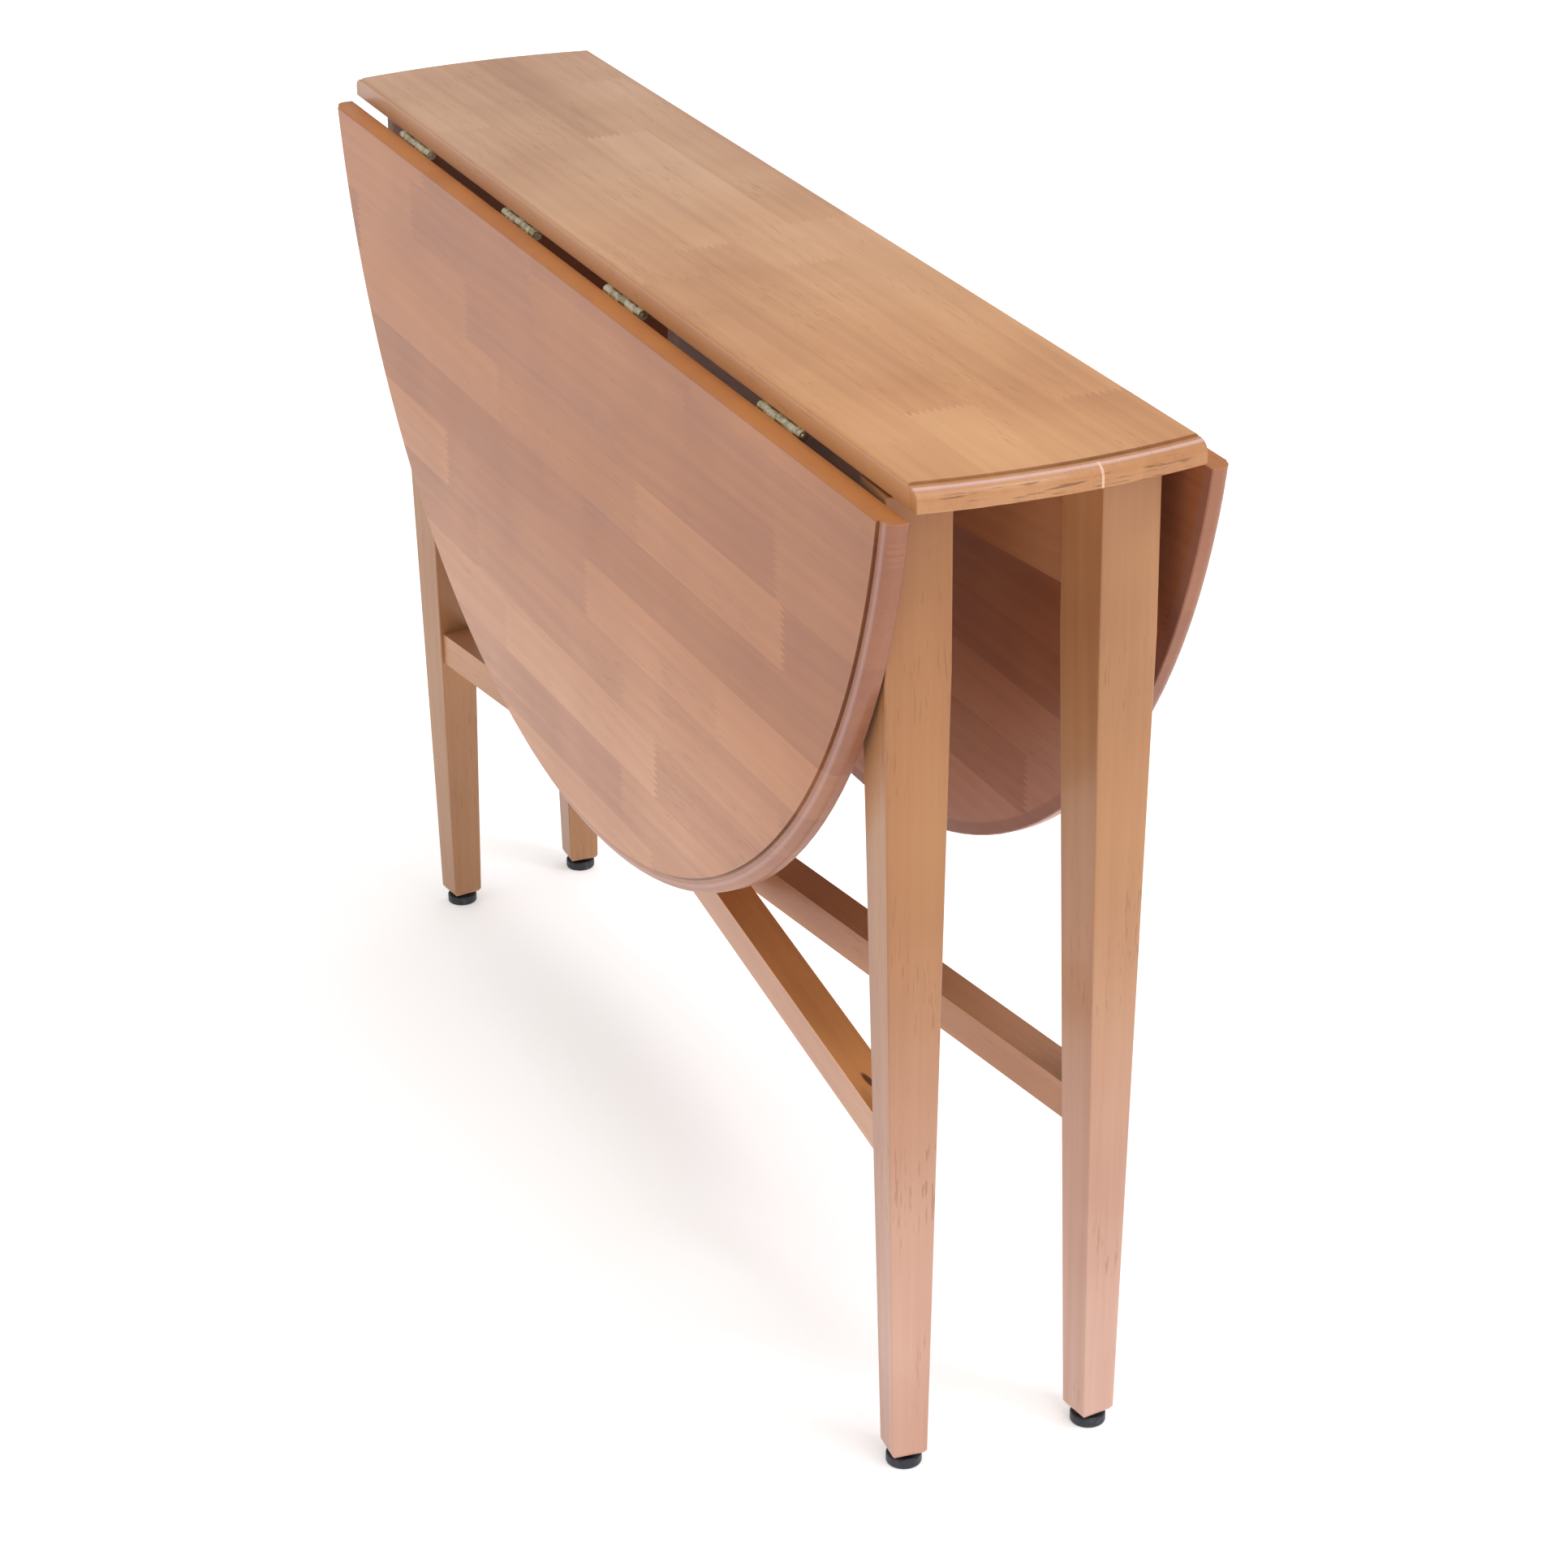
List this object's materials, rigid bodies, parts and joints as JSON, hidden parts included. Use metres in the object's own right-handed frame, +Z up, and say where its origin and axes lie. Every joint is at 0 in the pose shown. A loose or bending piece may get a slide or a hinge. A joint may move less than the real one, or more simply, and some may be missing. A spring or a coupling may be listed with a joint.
{
  "type": "gateleg table",
  "caption": "Round drop-leaf gateleg table, closed: narrow fixed board, two hanging hinged leaves, four tapered legs, diagonal fixed frame and two swinging leg frames.",
  "frame": {"origin": "on the floor, under the middle of the closed table", "axes": "+X along the closed table towards its front end, +Y across it towards the far leaf, +Z up"},
  "size_m": [1.066, 0.2422, 0.74],
  "materials": {
    "wood": "satin",
    "dowel_wood": "matte",
    "hinge_metal": "aged",
    "steel": "zinc plated",
    "glide_plastic": "satin"
  },
  "bodies": {
    "table": {"centre_board": "wood", "front_right_leg": "wood", "rear_left_leg": "wood", "front_right_glide": "glide_plastic", "rear_left_glide": "glide_plastic", "fixed_glide_nails": "steel", "fixed_rail": "wood", "fixed_stretcher": "wood", "gate_hinge_post": "wood", "fixed_frame_dowels": "dowel_wood", "near_cleat": "wood", "far_cleat": "wood", "cleat_screws": "steel", "near_gate_hinge_post_plates": "hinge_metal", "far_gate_hinge_post_plates": "hinge_metal", "gate_hinge_pins": "hinge_metal", "gate_hinge_post_screws": "hinge_metal", "near_hinge_1_board_plate": "hinge_metal", "near_hinge_2_board_plate": "hinge_metal", "near_hinge_3_board_plate": "hinge_metal", "near_hinge_4_board_plate": "hinge_metal", "near_hinge_pins": "hinge_metal", "near_hinge_board_screws": "hinge_metal", "far_hinge_1_board_plate": "hinge_metal", "far_hinge_2_board_plate": "hinge_metal", "far_hinge_3_board_plate": "hinge_metal", "far_hinge_4_board_plate": "hinge_metal", "far_hinge_pins": "hinge_metal", "far_hinge_board_screws": "hinge_metal"},
    "near_leaf_body": {"near_leaf": "wood", "near_hinge_1_leaf_plate": "hinge_metal", "near_hinge_2_leaf_plate": "hinge_metal", "near_hinge_3_leaf_plate": "hinge_metal", "near_hinge_4_leaf_plate": "hinge_metal", "near_hinge_leaf_screws": "hinge_metal"},
    "far_leaf_body": {"far_leaf": "wood", "far_hinge_1_leaf_plate": "hinge_metal", "far_hinge_2_leaf_plate": "hinge_metal", "far_hinge_3_leaf_plate": "hinge_metal", "far_hinge_4_leaf_plate": "hinge_metal", "far_hinge_leaf_screws": "hinge_metal"},
    "near_gate_body": {"front_left_leg": "wood", "front_left_glide": "glide_plastic", "near_gate_glide_nail": "steel", "near_gate_stile": "wood", "near_gate_rail": "wood", "near_gate_stretcher": "wood", "near_gate_dowels": "dowel_wood", "near_gate_hinge_plates": "hinge_metal", "near_gate_hinge_screws": "hinge_metal"},
    "far_gate_body": {"rear_right_leg": "wood", "rear_right_glide": "glide_plastic", "far_gate_glide_nail": "steel", "far_gate_stile": "wood", "far_gate_rail": "wood", "far_gate_stretcher": "wood", "far_gate_dowels": "dowel_wood", "far_gate_hinge_plates": "hinge_metal", "far_gate_hinge_screws": "hinge_metal"}
  },
  "joints": [
    {"name": "near_leaf_hinge", "type": "hinge", "parent": "table", "child": "near_leaf_body", "pos_m": [0, -0.1002, 0.7191], "axis": [-1, 0, 0], "range_deg": [0, 90]},
    {"name": "far_leaf_hinge", "type": "hinge", "parent": "table", "child": "far_leaf_body", "pos_m": [0, 0.1002, 0.7191], "axis": [1, 0, 0], "range_deg": [0, 90]},
    {"name": "near_gate_swing", "type": "hinge", "parent": "table", "child": "near_gate_body", "pos_m": [0.00224, -0.01776, 0], "axis": [0, 0, -1], "range_deg": [-10, 0]},
    {"name": "far_gate_swing", "type": "hinge", "parent": "table", "child": "far_gate_body", "pos_m": [-0.00224, 0.01776, 0], "axis": [0, 0, -1], "range_deg": [-8, 2]}
  ]
}
